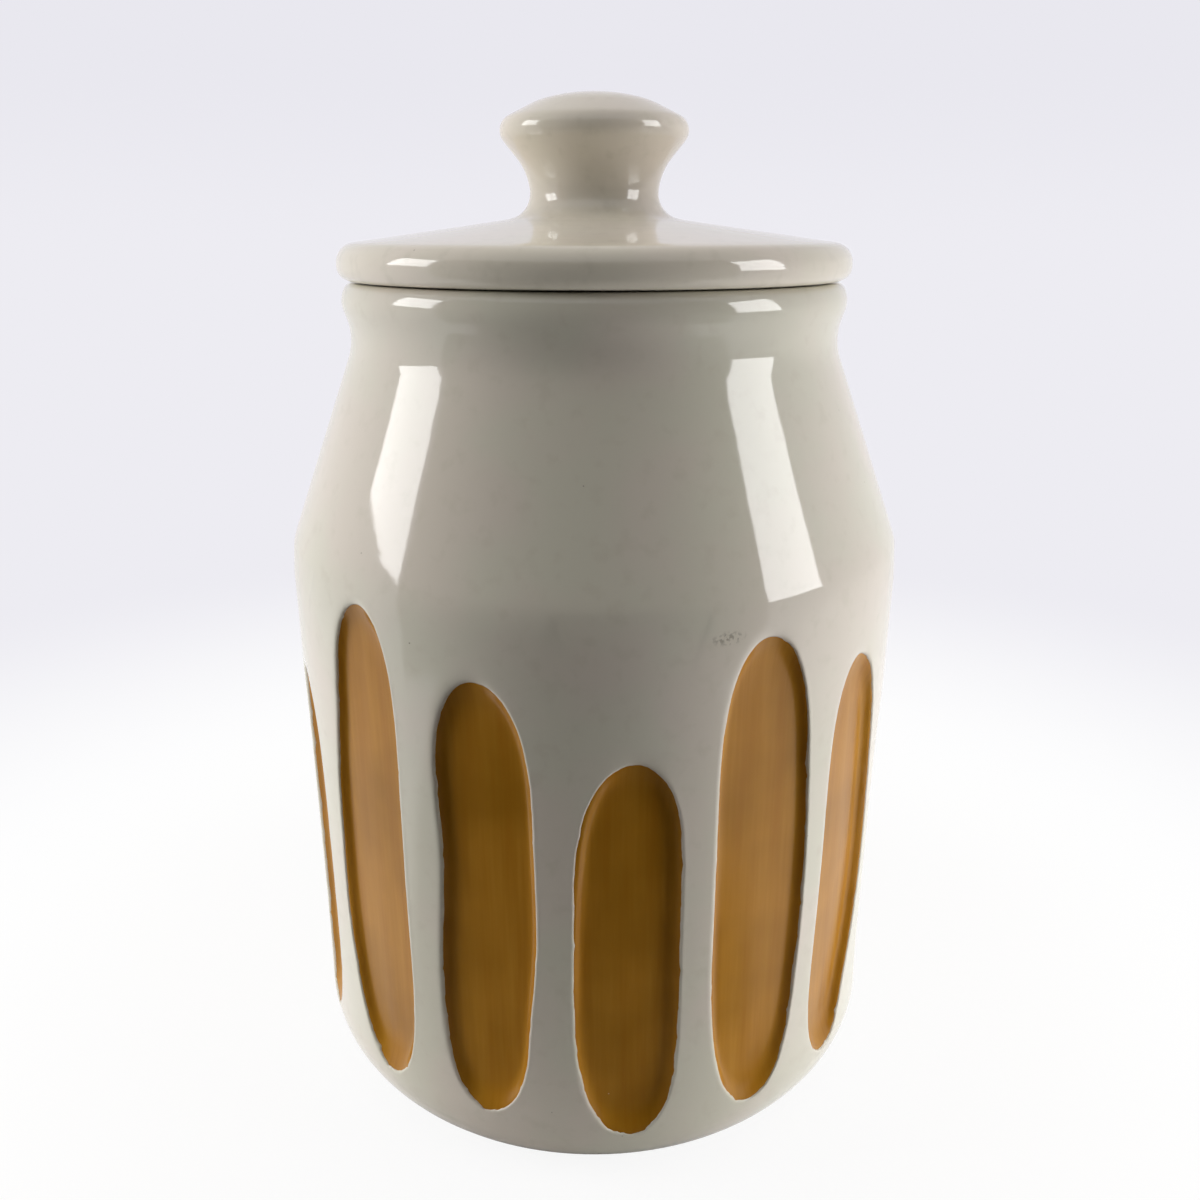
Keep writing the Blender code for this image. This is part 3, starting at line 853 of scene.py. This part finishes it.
def srgb(code):
    """Linear colour of an sRGB hex code: each share is straightened by the standard curve."""
    shares = np.array([int(code[i : i + 2], 16) for i in (0, 2, 4)]) / 255
    linear = np.where(shares <= 0.04045, shares / 12.92, ((shares + 0.055) / 1.055) ** 2.4)
    return (*linear.tolist(), 1.0)


def add_node(tree, kind, inputs=None, output=None, **settings):
    """One node with its settings. Each input is a number, a hex colour or another node's output.
    The result is the output asked for, or the node where none is."""
    node = tree.nodes.new(kind)
    for name, value in settings.items():
        setattr(node, name, value)
    for socket, value in (inputs or {}).items():
        if isinstance(value, bpy.types.NodeSocket):
            tree.links.new(value, node.inputs[socket])
        else:
            node.inputs[socket].default_value = srgb(value) if isinstance(value, str) else value
    return node if output is None else node.outputs[output]


def new_material(name, **values):
    """A material whose Principled shader has the given constant values."""
    material = bpy.data.materials.new(name)
    material.use_nodes = True
    shader = material.node_tree.nodes["Principled BSDF"]
    for socket, value in values.items():
        shader.inputs[socket.replace("_", " ")].default_value = value
    return material, material.node_tree, shader


def laid_over(tree, under, over, value, start, end, most=1.0, way="SMOOTHSTEP"):
    """One colour over another: none of it where the value is at start, the share most at end."""
    limits = {"Value": value, "From Min": start, "From Max": end, "To Max": most}
    share = add_node(tree, "ShaderNodeMapRange", limits, "Result", interpolation_type=way)
    colours = {MIX_FACTOR: share, MIX_UNDER: under, MIX_OVER: over}
    return add_node(tree, "ShaderNodeMix", colours, MIX_RESULT, data_type="RGBA")


print("white paper is", [round(share, 3) for share in srgb("F2F2F4")[:3]], "in linear shares")

# %% [markdown]
# The jar and lid are stoneware under a warm white gloss glaze, dipped and fired. Glaze is glass, so
# its index of refraction is about 1.5 and its gloss is high. The eye reads it by small faults: a
# faint cloudiness of tone, iron specks, and a surface that waves like orange peel, which breaks up
# the edges of a highlight. A painted image could hold them, but noises at their real sizes in
# millimetres need no image and no seam. The lid's copy of the glaze is a little lighter.

# %% Warm white glaze
GLAZE_IOR = 1.5
GLOSS_ROUGHNESS = 0.06
DRY_ROUGHNESS = 0.85
DRY_FOOT = 0.7 * MM
CLOUD = 35 * MM
MOTTLE = 4 * MM
# Iron specks are about 0.1 mm across, too fine to show here, so they are drawn twice as wide.
SPECK_SIZE = 0.22 * MM
SPECK_SPACING = 9 * MM
SPECK_EDGE = 0.6

# A rubbed mark on the shoulder: its place, one over its reach along each axis, and its grain.
RUB_MARK = (26.7 * MM, -69.7 * MM, 135 * MM)
RUB_SHAPE = (200, 200, 550)
RUB_GRAIN = 0.7 * MM

# The waves of the surface: how far apart they lie, and how deep they are.
RIPPLE, RIPPLE_DEPTH = 14 * MM, 0.06 * MM
WHEEL_MARK, WHEEL_DEPTH = 3.5 * MM, 0.014 * MM
PEEL, PEEL_DEPTH = 2.2 * MM, 0.006 * MM


def rubbed_share(tree, where):
    """The share of a rub: a soft, stretched ball round its place, times a grain's strong parts."""
    from_rub = {0: where, 1: RUB_MARK}
    from_rub = add_node(tree, "ShaderNodeVectorMath", from_rub, "Vector", operation="SUBTRACT")
    shape = {0: from_rub, 1: RUB_SHAPE}
    shape = add_node(tree, "ShaderNodeVectorMath", shape, "Vector", operation="MULTIPLY")
    away = add_node(tree, "ShaderNodeVectorMath", {0: shape}, "Value", operation="LENGTH")
    grain = {"Vector": where, "Scale": 1 / RUB_GRAIN, "Detail": 3}
    grain = add_node(tree, "ShaderNodeTexNoise", grain, "Fac")
    steps = ((away, 1.0, 0.3, 1.0), (grain, 0.48, 0.62, 0.6))
    shares = {}
    for at, (value, start, end, most) in enumerate(steps):
        limits = {"Value": value, "From Min": start, "From Max": end, "To Max": most}
        shares[at] = add_node(
            tree, "ShaderNodeMapRange", limits, "Result", interpolation_type="SMOOTHSTEP"
        )
    return add_node(tree, "ShaderNodeMath", shares, "Value", operation="MULTIPLY")


def waved_surface(tree, where, height):
    """Bumps on bumps: slow ripples, rings of the wheel that follow radius and height, and peel."""
    flat = {0: where, 1: (1, 1, 0)}
    flat = add_node(tree, "ShaderNodeVectorMath", flat, "Vector", operation="MULTIPLY")
    radius = add_node(tree, "ShaderNodeVectorMath", {0: flat}, "Value", operation="LENGTH")
    section = add_node(tree, "ShaderNodeCombineXYZ", {"X": radius, "Z": height}, "Vector")
    bump = {}
    for at, spacing, depth in (
        (where, RIPPLE, RIPPLE_DEPTH),
        (section, WHEEL_MARK, WHEEL_DEPTH),
        (where, PEEL, PEEL_DEPTH),
    ):
        noise = {"Vector": at, "Scale": 1 / spacing, "Detail": 1}
        wave = add_node(tree, "ShaderNodeTexNoise", noise, "Fac")
        bump.update({"Height": wave, "Strength": 1, "Distance": depth})
        bump["Normal"] = add_node(tree, "ShaderNodeBump", bump, "Normal")
    return bump["Normal"]


# %% White glaze material
def white_glaze(name, pinkish, greenish):
    """Gloss glaze between two tones, with dry clay where the foot was wiped so that it won't stick.
    A noise runs mostly from 0.3 to 0.7, and two numbers say which part of that shows."""
    material, tree, shader = new_material(name, IOR=GLAZE_IOR)
    where = add_node(tree, "ShaderNodeTexCoord", output="Object")
    height = add_node(tree, "ShaderNodeSeparateXYZ", {"Vector": where}, "Z")
    cloud = {"Vector": where, "Scale": 1 / CLOUD, "Detail": 3}
    cloud = add_node(tree, "ShaderNodeTexNoise", cloud, "Fac")
    mottle = {"Vector": where, "Scale": 1 / MOTTLE, "Detail": 4}
    mottle = add_node(tree, "ShaderNodeTexNoise", mottle, "Fac")
    specks = {"Vector": where, "Scale": 1 / SPECK_SPACING}
    specks = add_node(tree, "ShaderNodeTexVoronoi", specks, "Distance")
    size = SPECK_SIZE / SPECK_SPACING

    tone = laid_over(tree, pinkish, greenish, cloud, 0.38, 0.62)
    tone = laid_over(tree, tone, "CFC9BA", mottle, 0.52, 0.75, 0.4)
    tone = laid_over(tree, tone, "6E6250", specks, size, size * SPECK_EDGE, 0.6)
    rubbed = {MIX_FACTOR: rubbed_share(tree, where), MIX_UNDER: tone, MIX_OVER: "8C8476"}
    tone = add_node(tree, "ShaderNodeMix", rubbed, MIX_RESULT, data_type="RGBA")
    tone = laid_over(tree, tone, "C4B59C", height, DRY_FOOT, DRY_FOOT / 2)

    dry = {"Value": height, "From Min": DRY_FOOT, "From Max": DRY_FOOT / 2}
    dry = add_node(tree, "ShaderNodeMapRange", dry, "Result", interpolation_type="SMOOTHSTEP")
    rough = {"Value": dry, "To Min": GLOSS_ROUGHNESS, "To Max": DRY_ROUGHNESS}
    rough = add_node(tree, "ShaderNodeMapRange", rough, "Result", interpolation_type="SMOOTHSTEP")
    tree.links.new(tone, shader.inputs["Base Color"])
    tree.links.new(rough, shader.inputs["Roughness"])
    tree.links.new(waved_surface(tree, where, height), shader.inputs["Normal"])
    return material


glaze = white_glaze("warm_white_gloss_glaze", "DBD3C7", "D8D5C6")
lid_glaze = white_glaze("warm_white_gloss_glaze_lid", "E3DACE", "DFD9CA")
print("made", glaze.name, "and", lid_glaze.name)

# %% [markdown]
# The stain is iron oxide in a thin satin glaze, wiped down the flutes with a wide brush. So its
# tone runs in upright streaks, a few millimetres across and a few centimetres long, and the shine
# is soft. The streaks follow the coat's own UV map, which is laid out in metres along the wall. A
# wave texture would give even stripes; a noise that is squeezed one way gives uneven ones.

# %% Amber stain
# A thin, slightly rough coat mirrors less than thick glass, so its index is set below glass's 1.5.
STAIN_IOR = 1.37
STAIN_ROUGHNESS = 0.2
STREAK_WIDTH, STREAK_LENGTH = 4.5 * MM, 70 * MM
# Single hairs draw lines about 0.2 mm wide, too fine to show here, so they are drawn wider.
HAIR_WIDTH, HAIR_LENGTH = 0.9 * MM, 25 * MM
HAIR_DEPTH = 0.02 * MM
POOL = 25 * MM
# Undissolved grains are under 0.1 mm, too fine to show here, so they are drawn wider too.
FLECK_SIZE = 0.2 * MM
FLECK_SPACING = 11 * MM
FLECK_EDGE = 0.6


def amber_stain():
    """Satin amber with brush streaks: noise squeezed across the flute and drawn out along it."""
    material, tree, shader = new_material(
        "brushed_amber_satin_glaze", IOR=STAIN_IOR, Roughness=STAIN_ROUGHNESS
    )
    uv = add_node(tree, "ShaderNodeUVMap", output="UV", uv_map="surface")
    where = add_node(tree, "ShaderNodeTexCoord", output="Object")
    strokes = []
    for width, length in ((STREAK_WIDTH, STREAK_LENGTH), (HAIR_WIDTH, HAIR_LENGTH)):
        squeeze = {"Vector": uv, "Scale": (1 / width, 1 / length, 1)}
        squeezed = add_node(tree, "ShaderNodeMapping", squeeze, "Vector")
        noise = {"Vector": squeezed, "Scale": 1, "Detail": 2}
        strokes.append(add_node(tree, "ShaderNodeTexNoise", noise, "Fac"))
    streak, hair = strokes
    pool = {"Vector": where, "Scale": 1 / POOL, "Detail": 2}
    pool = add_node(tree, "ShaderNodeTexNoise", pool, "Fac")
    flecks = {"Vector": where, "Scale": 1 / FLECK_SPACING}
    flecks = add_node(tree, "ShaderNodeTexVoronoi", flecks, "Distance")
    size = FLECK_SIZE / FLECK_SPACING

    tone = "A87018"
    for over, value, start, end, most in (
        ("B68026", streak, 0.3, 0.7, 1.0),
        ("C99638", hair, 0.4, 0.7, 0.2),
        ("94640F", pool, 0.42, 0.68, 0.6),
        ("E2CC9A", flecks, size, size * FLECK_EDGE, 0.7),
    ):
        tone = laid_over(tree, tone, over, value, start, end, most, "LINEAR")
    bump = {"Height": hair, "Strength": 1, "Distance": HAIR_DEPTH}
    brushed = add_node(tree, "ShaderNodeBump", bump, "Normal")
    tree.links.new(tone, shader.inputs["Base Color"])
    tree.links.new(brushed, shader.inputs["Normal"])
    return material


amber = amber_stain()
print("made", amber.name)

# %% [markdown]
# The ring is moulded silicone, milky and matt. A little light passes into it, which a touch of
# subsurface scattering gives; a plain white would look like plastic.

# %% Silicone
SILICONE_IOR = 1.41
SILICONE_ROUGHNESS = 0.5
SILICONE_REACH = 1.5 * MM
SILICONE_CLOUD = 6 * MM


def milky_silicone():
    """Translucent rubber with the faint cloudiness of a moulding."""
    material, tree, shader = new_material(
        "moulded_milky_silicone",
        IOR=SILICONE_IOR,
        Roughness=SILICONE_ROUGHNESS,
        Subsurface_Weight=0.3,
        Subsurface_Scale=SILICONE_REACH,
    )
    where = add_node(tree, "ShaderNodeTexCoord", output="Object")
    cloud = {"Vector": where, "Scale": 1 / SILICONE_CLOUD, "Detail": 3}
    cloud = add_node(tree, "ShaderNodeTexNoise", cloud, "Fac")
    tones = {MIX_FACTOR: cloud, MIX_UNDER: "D6D5D0", MIX_OVER: "E2E1DC"}
    tone = add_node(tree, "ShaderNodeMix", tones, MIX_RESULT, data_type="RGBA")
    tree.links.new(tone, shader.inputs["Base Color"])
    return material


silicone = milky_silicone()
print("made", silicone.name)

# %% [markdown]
# Now each shape meets its finish and its body. The jar and its coats stand on the jar's body, the
# ring and the lid ride on theirs, so that they lift off and turn as the imported joints say. Each
# piece takes the place of its plain solid, which is hidden.

# %% Pieces
LID_COLUMNS = 193
round_about = np.linspace(0, 2 * np.pi, LID_COLUMNS)

jar = make_piece("jar_glazed_body", body_patches, glaze)
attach(jar, "jar")
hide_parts("jar_body")

for flute in flutes:
    coat = make_piece(f"amber_coat_{flute + 1:02d}", coat_patches[flute], amber)
    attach(coat, "jar")
    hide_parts("jar_body")

lid = make_piece("lid_glazed", [turned(lid_line, round_about)], lid_glaze)
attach(lid, "lid")
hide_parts("lid")

seal = make_piece("seal_ring_soft", [turned(seal_line, round_about)], silicone)
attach(seal, "seal")
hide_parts("seal_ring")

# %% [markdown]
# A closed skin whose faces point outward has a positive volume, so a negative one betrays a skin
# that is inside out. Looking for dark faces by eye would find it too, but not on every piece.


# %% Inside-out check
def volume(piece):
    """Signed volume in cubic centimetres: a sixth of each corner triple's determinant, summed."""
    mesh = piece.data
    mesh.calc_loop_triangles()
    corners = np.empty(len(mesh.loop_triangles) * 3, np.int32)
    mesh.loop_triangles.foreach_get("vertices", corners)
    points = np.empty(len(mesh.vertices) * 3, np.float32)
    mesh.vertices.foreach_get("co", points)
    triples = points.reshape(-1, 3).astype(float)[corners.reshape(-1, 3)]
    return np.linalg.det(triples).sum() / 6 * 1e6


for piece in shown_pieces():
    if volume(piece) < 0:
        print(piece.name, "is inside out")
print(f"jar {volume(jar):.0f} cm3 of clay, lid {volume(lid):.0f} cm3")

# %% [markdown]
# The jar stands on a white sheet. In front the sheet soon ends and a dark table begins, so the
# sides mirror white paper and the front mirrors almost nothing. One flat floor is both, told apart
# by the distance from the table's middle. To the camera and through glass the floor glows white all
# round, and near the jar a part of it stays plain paper, which takes the jar's shadow. Gloss sees
# the glow only well away from the table, and between there and the sheet's edge it sees dark.

# %% Floor
FLOOR_SIZE = 6.0
FLOOR_DROP = 0.1 * MM
TABLE_CENTRE = (-0.03, -0.32, 0.0)
TABLE_RADIUS, SHEET_FROM = 0.15, 0.24
MIRRORED_RADIUS, MIRRORED_FROM = 0.25, 0.29
GLOW_NEAR = 0.9
GLOW_INNER, GLOW_OUTER = 0.12, 0.26
WHITE_TO, GREY_FROM = 0.18, 0.5

square = np.array([(-1, -1, 0), (1, -1, 0), (1, 1, 0), (-1, 1, 0)]) * FLOOR_SIZE / 2
floor_mesh = bpy.data.meshes.new("floor")
floor_mesh.from_pydata(square.tolist(), [], [(0, 1, 2, 3)])
floor = bpy.data.objects.new("floor", floor_mesh)
floor.location.z = -FLOOR_DROP
bpy.context.scene.collection.objects.link(floor)
floor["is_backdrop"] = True

paper = bpy.data.materials.new("pale_sheet")
paper.use_nodes = True
tree = paper.node_tree
tree.nodes.clear()
where = add_node(tree, "ShaderNodeTexCoord", output="Object")
from_jar = add_node(tree, "ShaderNodeVectorMath", {0: where}, "Value", operation="LENGTH")
from_table = {0: where, 1: TABLE_CENTRE}
from_table = add_node(tree, "ShaderNodeVectorMath", from_table, "Value", operation="DISTANCE")
rays = add_node(tree, "ShaderNodeLightPath").outputs
shares = {
    "camera": rays["Is Camera Ray"],
    "gloss": rays["Is Glossy Ray"],
    "glass": rays["Is Transmission Ray"],
}
for name, value, start, end, low in (
    ("white", from_table, TABLE_RADIUS, SHEET_FROM, 0.0),
    ("mirrored", from_table, MIRRORED_RADIUS, MIRRORED_FROM, 0.0),
    ("glowing", from_jar, GLOW_INNER, GLOW_OUTER, GLOW_NEAR),
):
    limits = {"Value": value, "From Min": start, "From Max": end, "To Min": low}
    shares[name] = add_node(
        tree, "ShaderNodeMapRange", limits, "Result", interpolation_type="SMOOTHSTEP"
    )
for name, operation, first, second in (
    ("mirrors", "MULTIPLY", "gloss", "mirrored"),
    ("between", "SUBTRACT", "white", "mirrored"),
    ("dark", "MULTIPLY", "gloss", "between"),
    ("shown", "SUBTRACT", "white", "dark"),
    ("straight", "MAXIMUM", "camera", "glass"),
    ("seen", "MAXIMUM", "straight", "mirrors"),
    ("glow", "MULTIPLY", "seen", "glowing"),
):
    both = {0: shares[first], 1: shares[second]}
    shares[name] = add_node(tree, "ShaderNodeMath", both, "Value", operation=operation)
tones = {MIX_FACTOR: shares["shown"], MIX_UNDER: "2A2826", MIX_OVER: "F2F2F4"}
tone = add_node(tree, "ShaderNodeMix", tones, MIX_RESULT, data_type="RGBA")
sheet = add_node(tree, "ShaderNodeBsdfDiffuse", {"Color": tone}, "BSDF")
pale = laid_over(tree, "FFFFFF", "EDECF2", from_jar, WHITE_TO, GREY_FROM)
glow = add_node(tree, "ShaderNodeEmission", {"Strength": 1.0, "Color": pale}, "Emission")
blend = add_node(tree, "ShaderNodeMixShader", {0: shares["glow"], 1: sheet, 2: glow}, "Shader")
add_node(tree, "ShaderNodeOutputMaterial", {"Surface": blend})
floor_mesh.materials.append(paper)
print(f"white sheet from {SHEET_FROM:.2f} m round the table's middle")

# %% [markdown]
# Big white boards on both sides, a pale ceiling and the wall behind give the fill; from the front
# comes none. They could be real planes that glow, but a world is cheaper and never gets in the
# camera's way. A step reads one axis of the direction, from 0 level with it to 1 straight along it.
# What the camera sees behind the jar is a separate pale fade, and gloss, metal and glass see that
# same fade.

# %% Room
FILL_SIDES = 2.0
FILL_RIGHT = 0.62
FILL_HIGH = 0.35
FILL_ABOVE = 1.1
FILL_BEHIND = 0.8
HORIZON = (-0.02, 0.12)

world = bpy.data.worlds.new("studio")
bpy.context.scene.world = world
world.use_nodes = True
tree = world.node_tree
tree.nodes.clear()
direction = add_node(tree, "ShaderNodeTexCoord", output="Generated")
axes = add_node(tree, "ShaderNodeSeparateXYZ", {"Vector": direction}).outputs
sideways = add_node(tree, "ShaderNodeMath", {0: axes["X"]}, "Value", operation="ABSOLUTE")
steps = {}
for name, value, start, end, low, high in (
    ("boards", sideways, 0.72, 0.97, 0.0, FILL_SIDES),
    ("right", axes["X"], 0.0, 0.5, 1.0, FILL_RIGHT),
    ("high", axes["Z"], 0.2, 0.55, 1.0, FILL_HIGH),
    ("above", axes["Z"], 0.66, 0.92, 0.0, FILL_ABOVE),
    ("behind", axes["Y"], 0.1, 0.7, 0.0, FILL_BEHIND),
):
    limits = {"Value": value, "From Min": start, "From Max": end, "To Min": low, "To Max": high}
    steps[name] = add_node(
        tree, "ShaderNodeMapRange", limits, "Result", interpolation_type="SMOOTHSTEP"
    )
strength = steps["boards"]
for operation, name in (
    ("MULTIPLY", "right"),
    ("MULTIPLY", "high"),
    ("MAXIMUM", "above"),
    ("MAXIMUM", "behind"),
):
    both = {0: strength, 1: steps[name]}
    strength = add_node(tree, "ShaderNodeMath", both, "Value", operation=operation)
rays = add_node(tree, "ShaderNodeLightPath").outputs
seen = rays["Is Camera Ray"]
for kind in ("Is Glossy Ray", "Is Transmission Ray"):
    both = {0: seen, 1: rays[kind]}
    seen = add_node(tree, "ShaderNodeMath", both, "Value", operation="MAXIMUM")
fade = laid_over(tree, "EDECF2", "E9E8EF", axes["Z"], *HORIZON)
shown = {"Strength": 1.0, "Color": fade}
backdrop = add_node(tree, "ShaderNodeBackground", shown, "Background")
lights = {"Strength": strength, "Color": "FFFBF5"}
fill = add_node(tree, "ShaderNodeBackground", lights, "Background")
sky = add_node(tree, "ShaderNodeMixShader", {0: seen, 1: fill, 2: backdrop}, "Shader")
add_node(tree, "ShaderNodeOutputWorld", {"Surface": sky})
print("room fill:", FILL_SIDES, "at the left,", FILL_SIDES * FILL_RIGHT, "at the right")

# %% [markdown]
# A curved black screen stands behind the camera. It keeps light off the jar's front, so that the
# sides stay bright and the front goes dark, and the glaze mirrors it as a soft shadow. A darker
# world in front would take that light away too, but gloss sees the pale fade there, and the screen
# hides that fade from it.

# %% Black screen
SCREEN_RADIUS = 0.36
SCREEN_FROM, SCREEN_TO = np.radians([-66, 57])
SCREEN_TOP = 0.45
SCREEN_COLUMNS = 25

around = np.linspace(SCREEN_FROM, SCREEN_TO, SCREEN_COLUMNS)
ends = np.array([(SCREEN_RADIUS, 0.0), (SCREEN_RADIUS, SCREEN_TOP)])
points, faces, _ = turned(ends, around)
screen_mesh = bpy.data.meshes.new("black_screen")
screen_mesh.from_pydata(points.tolist(), [], faces.tolist())
screen = bpy.data.objects.new("black_screen", screen_mesh)
screen.visible_camera = False
bpy.context.scene.collection.objects.link(screen)
screen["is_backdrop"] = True
cloth, _, _ = new_material("black_cloth", Base_Color=srgb("0C0B0A"), Roughness=1.0)
screen_mesh.materials.append(cloth)
print(f"black screen of {len(faces)} faces")

# %% [markdown]
# Two softboxes stand left and right, and leave the upright white panels on the shoulder. Their
# edges were found by following the camera's rays from the corners of those panels, off the glaze
# and out to a plane on each side. Area lamps are used because the glaze mirrors their square edges.
# The right panel is bright and yet the glaze beside it is not, so that softbox is two lamps in one
# place: one is only mirrored, the other only lights. A low strip on each side lifts the wall near
# the table, where the softboxes shine from too high, and isn't mirrored.

# %% Softboxes
LAMP_DISTANCE = 0.85
LEFT_BOX = (-0.272, 0.082, 0.322, 0.69)
RIGHT_BOX = (-0.46, -0.078, 0.195, 0.69)
STRIP_BOX = (-0.12, 0.12, 0.005, 0.14)
STRIP_AZIMUTH = np.radians(75)
STRIP_REACH = 0.3


def softbox(name, side, box, power):
    """An upright area lamp beside the jar that faces it. The box says from where to where it
    reaches along Y, and then from its foot to its top."""
    front, back, foot, top = box
    data = bpy.data.lights.new(name, "AREA")
    data.shape = "RECTANGLE"
    data.size, data.size_y = back - front, top - foot
    data.energy = power
    lamp = bpy.data.objects.new(name, data)
    lamp.location = (side * LAMP_DISTANCE, (front + back) / 2, (foot + top) / 2)
    lamp.rotation_euler = (np.pi / 2, 0, side * np.pi / 2)
    bpy.context.scene.collection.objects.link(lamp)
    lamp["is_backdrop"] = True
    return lamp


softbox("left_softbox", -1, LEFT_BOX, 3.2)
softbox("right_softbox", 1, RIGHT_BOX, 4.7).visible_diffuse = False
softbox("right_softbox_light", 1, RIGHT_BOX, 2.2).visible_glossy = False
for name, side, power in (("left_strip", -1, 0.17), ("right_strip", 1, 0.36)):
    strip = softbox(name, side, STRIP_BOX, power)
    strip.location.x = side * STRIP_REACH * np.sin(STRIP_AZIMUTH)
    strip.location.y = -STRIP_REACH * np.cos(STRIP_AZIMUTH)
    strip.rotation_euler.z = side * STRIP_AZIMUTH
    strip.visible_camera = strip.visible_glossy = False

# %% [markdown]
# The render shows colours as they are written, with the plain view transform; a filmic one would
# grey the white glaze. The last lines print the size of the dressed model.

# %% Finish
bpy.context.scene.view_settings.view_transform = "Standard"

low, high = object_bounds()
print("visual box in mm:", [round(v / MM, 1) for v in (*low, *high)])
